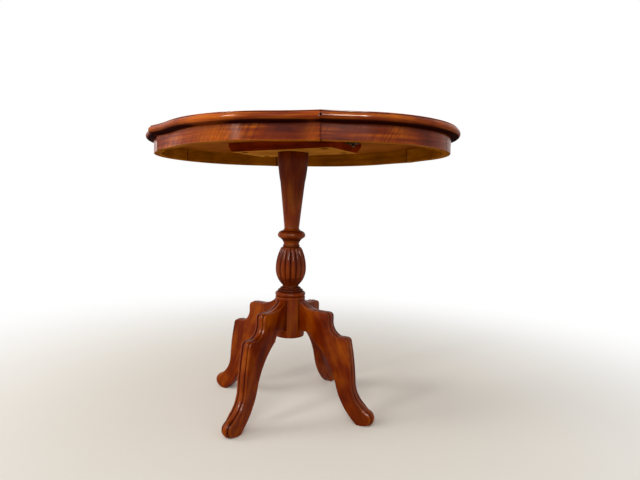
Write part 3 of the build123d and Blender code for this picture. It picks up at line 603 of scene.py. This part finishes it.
def pillar_profile():
    """(radius, height) up the pillar, from its axis at the foot back to its axis on top."""
    share = np.linspace(0, 1, 16)
    head = np.stack([31.5 + 7.4 * np.sin(share * np.pi / 2) ** 0.85,
                     np.linspace(581, BLOCK_BOTTOM - 0.4, 16)], 1)
    return np.concatenate([
        # Plain hub
        [[0, HUB_BOTTOM], [14, HUB_BOTTOM], [28, HUB_BOTTOM]],
        arc((HUB_RADIUS - 3, HUB_BOTTOM + 3), 3, -90, 0, 6),
        even(np.array([[HUB_RADIUS, HUB_BOTTOM + 5], [HUB_RADIUS, HUB_TOP + 0.2]]), 9),
        # Stepped rings
        [[37.4, 280.6], [37.6, 281.2]],
        [[38.3, 281.6], [38.4, 282.2], [38.4, 286.6], [38.0, 287.6], [36.8, 288.0]],
        [[34.2, 288.0]],
        bead(39.2, 288.3, 300.0),
        [[29.8, 300.2]],
        bead(32.4, 300.4, 305.5, 9),
        [[27.0, 305.7], [26.4, 306.2], [26.5, 309.6], [26.1, 310.3], [25.4, 310.5]],
        [[21.6, 310.8], [20.8, 311.6], [20.6, 313.0], [20.6, 315.2]],
        # Urn
        upright_arc(URN_RADIUS, 20.6, URN_MIDDLE, -43.5, 34)[::-1],
        upright_arc(URN_RADIUS, 27.5, URN_MIDDLE, 51.0, 36)[1:],
        [[26.6, 412.8], [24.6, 414.4], [22.0, 415.2], [20.2, 415.5]],
        # Bead and collar
        bead(22.0, 415.7, 421.0, 9),
        [[20.2, 421.2], [19.9, 422.4]],
        arc_between((19.9, 424.0), (30.6, 438.2), 20, 10),
        arc_between((31.2, 438.6), (35.6, 446.0), -8, 10),
        arc_between((35.6, 446.0), (26.5, 456.4), -13, 12)[1:],
        arc_between((26.5, 456.4), (19.0, 463.8), 10, 10)[1:],
        # Taper and full head
        [[23.0, 502.0], [27.0, 541.0]],
        head,
        # Tenon
        [[38.5, BLOCK_BOTTOM], [17, BLOCK_BOTTOM], [17, 660], [17, 678.5], [8, 678.5]],
        [[0, 678.5]],
    ])


# Painted light (below 0) and painted shade (above 0) on the pillar: (height, tone), from
# the urn up. Shade is painted at the urn's foot and top and up the taper under the top;
# light on the lower urn, the collar and the foot of the taper.
PILLAR_PAINTED_LIGHT_AND_SHADE = (
    (312, 0.0), (316, 0.5), (326, 0.3), (338, -0.5), (365, -0.4), (385, 0.15), (412, 0.45),
    (424, -0.1), (466, -0.5), (480, -0.35), (505, 0.12), (540, 0.35), (600, 0.45))


def reeded_pillar():
    """The turned pillar, its urn cut into reeds.

    A surface of revolution: (radius cos turn, radius sin turn, height). On the urn the
    radius falls between reeds by a depth times (1 - |cos of half the reed angle|)**1.4,
    which makes round reeds that meet in sharp valleys. The depth dies away to rounded ends
    over the last few millimetres and is less where the urn is narrow. A quirk is darkened
    by how far it lies inside the widest part of the turning near its height, as stain and
    as painted shade under overhangs, and a valley is stained by its own depth. Elsewhere
    light and shade are painted on by height, and the painted light also pales the valleys.
    """
    radius, height = pillar_profile().T
    rows, sides = len(radius), REED_POINTS * REEDS
    turn = np.arange(sides) / sides * 2 * np.pi
    foot = np.clip((height - REEDS_START) / 6, 0, 1)
    mouth = np.clip((REEDS_END - height) / 5, 0, 1)
    depth = REED_DEPTH * np.sqrt(foot * (2 - foot)) * np.sqrt(mouth * (2 - mouth))
    depth *= np.clip(radius / URN_RADIUS, 0.55, 1)
    drop = depth[:, None] * (1 - np.abs(np.cos(turn * REEDS / 2))) ** 1.4
    reach = radius[:, None] - drop
    points = np.stack(np.broadcast_arrays(
        reach * np.cos(turn), reach * np.sin(turn), height[:, None]), -1)
    near = np.abs(height[:, None] - height[None, :]) < QUIRK_REACH
    widest = np.where(near, radius[None, :], 0).max(1)
    quirk = np.clip((widest - radius - QUIRK_CLEAN) / QUIRK_DARK, 0, 0.85)
    quirk[(height < QUIRKS_START) | (height > QUIRKS_END)] = 0
    # Painted light and shade by height; a darkened quirk takes their place, and painted light
    # pales the reed valleys.
    painted_tone = np.interp(height, *np.transpose(PILLAR_PAINTED_LIGHT_AND_SHADE))
    turned_stain_light_and_shade = np.where(quirk > 0.05, quirk, painted_tone)[:, None]
    valley_stain_and_painted_light = (drop / REED_DEPTH) ** 1.3 * 1.1 + np.minimum(painted_tone, 0)[:, None]
    hollow = np.maximum(turned_stain_light_and_shade, valley_stain_and_painted_light)
    # The first and last rings lie on the axis, so each is kept as one point and a fan.
    keep = slice(sides - 1, (rows - 1) * sides + 1)
    faces = quads(rows, sides, closed_columns=True)[:, ::-1]
    inner = (faces >= sides).all(1) & (faces < (rows - 1) * sides).all(1)
    ring = np.arange(sides)
    pairs = list(zip(ring, np.roll(ring, -1)))
    last_ring, pole = (rows - 3) * sides + 1, (rows - 2) * sides + 1
    low_fan = [[0, 1 + b, 1 + a] for a, b in pairs]
    high_fan = [[pole, last_ring + a, last_ring + b] for a, b in pairs]
    return make_piece(
        "reeded_pillar", points.reshape(-1, 3)[keep], faces[inner] - (sides - 1),
        low_fan + high_fan, points[..., [2, 0, 1]].reshape(-1, 3)[keep],
        hollow.ravel()[keep], [turned_wood], "stand", ["pillar"],
        crease=50)


reeded_pillar()


# ---------------------------------------------------------------- legs
def leg_outline():
    """(reach, height) round a leg, and how far each point belongs to the moulded edge."""
    edge = [
        # Root and first shoulder
        np.array([[30.0, HUB_TOP]]),
        np.array([[HUB_RADIUS, HUB_TOP]]),
        arc_between((HUB_RADIUS, HUB_TOP), (87.5, 260.5), -80, 22),
        np.array([[87.5, 260.5], [113.5, 260.5]]),
        arc((113.5, 248.5), 12, 88, 0, 12),
        # Second shoulder
        np.array([[125.5, 239.5]]),
        arc_between((125.5, 239.5), (148.5, 205), -33, 16),
        np.array([[148.5, 205.0], [166.5, 205.0]]),
        arc((166.5, 193), 12, 88, 2, 12),
        # Shin, instep and toe
        arc_between(SECOND_SHOULDER, SHIN, SHIN_RADIUS, 20),
        tangent_arc(SECOND_SHOULDER, SHIN, SHIN_RADIUS, INSTEP, 26),
        three_point_arc(INSTEP, (247, 19), (232, 0), 22),
    ]
    under = [
        # Sole, calf and underside of the root
        np.array([[232.0, 0.0], HEEL]),
        arc_between(HEEL, CALF, CALF_RADIUS, 24),
        tangent_arc(HEEL, CALF, CALF_RADIUS, (80, 186), 30),
        arc_between((80, 186), (67, 204), -26, 10),
        np.array([[67.0, 204.0], [30.0, 204.0]]),
    ]
    edge, under = (even(np.concatenate(line), 2.6) for line in (edge, under))
    points = np.concatenate([edge, under])
    keep = np.hypot(*(points - np.roll(points, 1, 0)).T) > 0.05
    belongs = np.concatenate([np.ones(len(edge)), np.zeros(len(under))])
    return points[keep], belongs[keep]


def end_heading(start, end, radius):
    """Unit direction in which arc_between arrives at its end."""
    line = arc_between(start, end, radius, 400)
    step = line[-1] - line[-2]
    return step / np.hypot(*step)


def tangent_arc(before, start, radius, end, count):
    """The arc from start to end that carries on the arc from before to start."""
    start, end = np.array(start, float), np.array(end, float)
    heading = end_heading(before, start, radius)
    side = np.array([heading[1], -heading[0]])
    chord = end - start
    carried = chord @ chord / (2 * (side @ chord))
    return arc_between(start, end, carried, count)


def three_point_arc(start, middle, end, count):
    """The arc through three points, from the circle equidistant from all of them."""
    a, b, c = (np.array(point, float) for point in (start, middle, end))
    system = 2 * np.array([b - a, c - a])
    centre = np.linalg.solve(system, [b @ b - a @ a, c @ c - a @ a])
    first, via, last = (np.arctan2(*(point - centre)[::-1]) for point in (a, b, c))
    sweep = (last - first) % (2 * np.pi)
    if (via - first) % (2 * np.pi) > sweep:
        sweep -= 2 * np.pi
    turn = first + sweep * np.linspace(0, 1, count)
    return centre + np.hypot(*(a - centre)) * np.stack([np.cos(turn), np.sin(turn)], 1)


def moulded_leg(name, facing, node):
    """A leg: its outline repeated across its thickness, drawn in by an edge profile.

    At a distance y from the middle plane, each point of the outline moves in along its
    normal. On the moulded edge it moves by the depth of a middle bead, a groove and an
    outer bead; underneath, by a small round over. The toe is rounded by y cubed. Stain
    collects in the grooves and against the hub, the foot is rubbed pale, and the crowns of
    the beads are painted pale, as wear and as a painted highlight. The grain slopes down
    and out with the leg, and starts elsewhere in the plank for each one.
    """
    outline, moulded = leg_outline()
    heading = np.roll(outline, -1, 0) - np.roll(outline, 1, 0)
    heading /= np.hypot(*heading.T)[:, None]
    inward = np.stack([heading[:, 1], -heading[:, 0]], 1)
    lines = np.array([0, 1.7, 3.4, 4.8, 5.7, 6.2, 6.6, 7.1, GROOVE, 8.3, 8.8, BEAD_START,
                      9.6, 10.2, 11.2, 12.3, 13.3, 14.0, 14.35, LEG_HALF])
    across = np.concatenate([-lines[:0:-1], lines])
    away = np.abs(across)
    middle_bead = 1.3 * np.clip(away / 6.2, 0, 1) ** 2
    groove = 2.4 * np.clip(1 - np.abs(away - GROOVE) / 1.5, 0, 1) ** 0.7
    outer = np.clip((away - BEAD_START) / (LEG_HALF - BEAD_START), 0, 1)
    outer_bead = 0.9 + 2.6 * (1 - np.sqrt(np.clip(1 - outer**2, 0, 1)))
    edge_depth = np.where(away < BEAD_START, middle_bead + groove, outer_bead)
    rounding = np.clip((away - (LEG_HALF - ROUND_OVER)) / ROUND_OVER, 0, 1)
    plain_depth = ROUND_OVER * (1 - np.sqrt(1 - rounding**2))
    reach, height = outline.T
    foot = height < FOOT_HEIGHT
    toe = np.clip((reach - TOE_START) / 20, 0, 1) * foot
    toe = toe * toe * (3 - 2 * toe)
    from_hub = np.clip((reach - 36) / 8, 0, 1)
    toe_depth = 6.5 * (away / LEG_HALF) ** 3
    depth = moulded[:, None] * edge_depth + (1 - moulded[:, None]) * plain_depth
    depth = depth * from_hub[:, None] + toe[:, None] * toe_depth
    drawn_in = outline[:, None, :] + inward[:, None, :] * depth[..., None]
    root = np.sqrt(HUB_RADIUS**2 - across**2) - 0.6
    out = np.maximum(drawn_in[..., 0], root)
    side = np.broadcast_to(across, out.shape)
    up = np.maximum(drawn_in[..., 1], 0.0)
    dark = np.clip(1 - np.abs(away - GROOVE) / 2.0, 0, 1) * 0.95
    # Bead crowns painted pale, as wear and as a painted highlight.
    dark = dark - 0.6 * (np.abs(away - BEAD_CROWN) < 1.2) - 0.5 * (away < 4.0)
    hollow = moulded[:, None] * dark * np.clip((reach - 40) / 10, 0, 1)[:, None]
    worn = np.clip((reach - WEAR_START) / 40, 0, 1) * foot
    hollow = hollow - 0.35 * worn[:, None] * (hollow < 0.05)
    hollow = np.where(reach[:, None] < HUB_RADIUS + 1, 0.6, hollow)
    grain = np.stack([up * GRAIN_DOWN - out * GRAIN_OUT + facing * 9,
                      up * GRAIN_OUT + out * GRAIN_DOWN, side + facing], -1)
    points = np.stack([*turned(out, side, facing), up], -1)
    rows, columns = depth.shape
    return make_piece(
        name, points.reshape(-1, 3), quads(rows, columns, closed_rows=True),
        end_caps(rows, columns), grain.reshape(-1, 3), hollow.ravel(), [carved_wood],
        "stand", [node], crease=40)


legs = {"leg_right": 0, "leg_back": 90, "leg_left": 180, "leg_front": 270}
for node, facing in legs.items():
    moulded_leg(f"carved_{node}", facing, node)


# ---------------------------------------------------------------- finishes on plain parts
plain_parts = (
    (top_veneer, ("top_panel",)),
    (bearer_finish, ("bearer_front", "bearer_back", "pivot_block")),
    (bare_beech, ("tenon_wedge", "leg_dowels")),
    (dull_steel, ("pivot_pins", "bearer_screws")),
    (tarnished_brass, ("catch_case", "catch_bolt", "catch_knob", "keeper_plate",
                       "catch_screws", "keeper_screws")),
)
for finish, nodes in plain_parts:
    for node in nodes:
        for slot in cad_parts[node].material_slots:
            slot.material = finish


# ---------------------------------------------------------------- floor, light, camera
FLOOR_HALF = 9.0
FADE_START, FADE_END = 0.35, 1.7  # where the floor's tone goes over into plain white
LAMP_WHITE, WARM_WHITE = "FFFAF2", "FFF6EA"
PICTURE_WIDTH = 640  # pixels
FOCAL_LENGTH = 486.6  # pixels
SENSOR_WIDTH = 36.0  # millimetres


def background_rays(tree):
    """1 for the rays that show the white background: camera, glossy and transmission."""
    ray = add(tree, "ShaderNodeLightPath").outputs
    seen = add(tree, "ShaderNodeMath", {
        0: ray["Is Camera Ray"], 1: ray["Is Glossy Ray"]}, operation="MAXIMUM")
    return add(tree, "ShaderNodeMath", {
        0: seen.outputs[0], 1: ray["Is Transmission Ray"]}, operation="MAXIMUM").outputs[0]


floor_mesh = bpy.data.meshes.new("floor")
floor_mesh.from_pydata(
    [(-FLOOR_HALF, -FLOOR_HALF, 0), (FLOOR_HALF, -FLOOR_HALF, 0),
     (FLOOR_HALF, FLOOR_HALF, 0), (-FLOOR_HALF, FLOOR_HALF, 0)], [], [(0, 1, 2, 3)])
floor = bpy.data.objects.new("floor", floor_mesh)
bpy.context.scene.collection.objects.link(floor)
# Pale matt floor: it takes the soft shadow near the feet and is plain white far away.
pale_floor, tree = blank("pale_studio_floor")
place = add(tree, "ShaderNodeTexCoord").outputs["Object"]
far = add(tree, "ShaderNodeVectorMath", {0: place}, operation="LENGTH").outputs["Value"]
fade = add(tree, "ShaderNodeMapRange", {
    "Value": far, "From Min": FADE_START, "From Max": FADE_END},
    interpolation_type="SMOOTHSTEP")
whitened = add(tree, "ShaderNodeMath", {
    0: fade.outputs[0], 1: background_rays(tree)}, operation="MULTIPLY").outputs[0]
matt = add(tree, "ShaderNodeBsdfDiffuse", {"Color": srgb("F2F0EC"), "Roughness": 0.6})
white = add(tree, "ShaderNodeEmission", {"Color": (1, 1, 1, 1), "Strength": 1.0})
both = add(tree, "ShaderNodeMixShader", {0: whitened, 1: matt.outputs[0],
                                         2: white.outputs[0]})
add(tree, "ShaderNodeOutputMaterial", {"Surface": both.outputs[0]})
floor_mesh.materials.append(pale_floor)

# Studio: soft light from all round at half strength, plain white wherever it is seen.
world = bpy.data.worlds.new("studio")
bpy.context.scene.world = world
world.use_nodes = True
tree = world.node_tree
tree.nodes.clear()
ambient = add(tree, "ShaderNodeBackground", {"Color": srgb("FFFBF4"), "Strength": 0.5})
backdrop = add(tree, "ShaderNodeBackground", {"Color": (1, 1, 1, 1), "Strength": 1.0})
mixed = add(tree, "ShaderNodeMixShader", {
    0: background_rays(tree), 1: ambient.outputs[0], 2: backdrop.outputs[0]})
add(tree, "ShaderNodeOutputWorld", {"Surface": mixed.outputs[0]})


def standing(right, up, forward, place):
    """The matrix that stands a lamp or camera at a place, looking forward."""
    axes = np.stack([right, up, -np.asarray(forward), place], 1)
    return Matrix(np.vstack([axes, [0, 0, 0, 1]]).tolist())


def soft_lamp(name, place, target, width, height, power, colour, mirrored=True,
              lighting=True):
    """A rectangular area lamp at a place, facing a target.

    One that isn't mirrored gives light without a reflection of itself; one that isn't
    lighting only gives the small highlights that window panes leave in lacquer.
    """
    lamp = bpy.data.lights.new(name, "AREA")
    lamp.shape = "RECTANGLE"
    lamp.size = width
    lamp.size_y = height
    lamp.energy = power
    lamp.color = srgb(colour)[:3]
    holder = bpy.data.objects.new(name, lamp)
    look = np.array(target, float) - np.array(place, float)
    look /= np.linalg.norm(look)
    right = np.cross(look, (0, 0, 1))
    right /= np.linalg.norm(right)
    up = np.cross(right, look)
    holder.matrix_world = standing(right, up, look, place)
    holder.visible_glossy = mirrored
    holder.visible_diffuse = lighting
    bpy.context.scene.collection.objects.link(holder)


soft_lamp("window_light", (-2.0, -1.5, 1.5), (0, 0, 0.5), 1.2, 1.2, 26, LAMP_WHITE,
          mirrored=False)
soft_lamp("room_light", (1.0, -2.2, 2.2), (0, 0, 0.4), 1.2, 1.2, 16, WARM_WHITE,
          mirrored=False)
soft_lamp("strip_light", (-0.66, -2.45, 1.3), (0, 0, 0.5), 0.3, 1.2, 9, LAMP_WHITE)
soft_lamp("left_pane_light", (-0.79, -2.16, 1.65), (0, 0, 0.4), 0.25, 0.9, 50, LAMP_WHITE,
          lighting=False)
soft_lamp("middle_pane_light", (0.79, -2.16, 1.65), (0, 0, 0.4), 0.25, 0.9, 60, LAMP_WHITE,
          lighting=False)
soft_lamp("right_pane_light", (1.6, -1.65, 1.5), (0, 0, 0.4), 0.2, 0.6, 60, LAMP_WHITE,
          lighting=False)

camera = bpy.data.objects.new("camera", bpy.data.cameras.new("camera"))
camera.data.sensor_width = SENSOR_WIDTH
camera.data.lens = FOCAL_LENGTH / PICTURE_WIDTH * SENSOR_WIDTH
camera.data.clip_end = 40.0
yaw, pitch, roll = radians(-31.06), radians(3.90), radians(1.44)
forward = np.array([
    np.sin(yaw) * np.cos(pitch), np.cos(yaw) * np.cos(pitch), -np.sin(pitch)])
level = np.array([np.cos(yaw), -np.sin(yaw), 0.0])
overhead = np.cross(level, forward)
right = np.cos(roll) * level + np.sin(roll) * overhead
up = np.cross(right, forward)
stand_point = (0.7089, -1.0345, 0.5197)
camera.matrix_world = standing(right, up, forward, stand_point)
bpy.context.scene.collection.objects.link(camera)
bpy.context.scene.camera = camera
bpy.context.scene.view_settings.view_transform = "Standard"
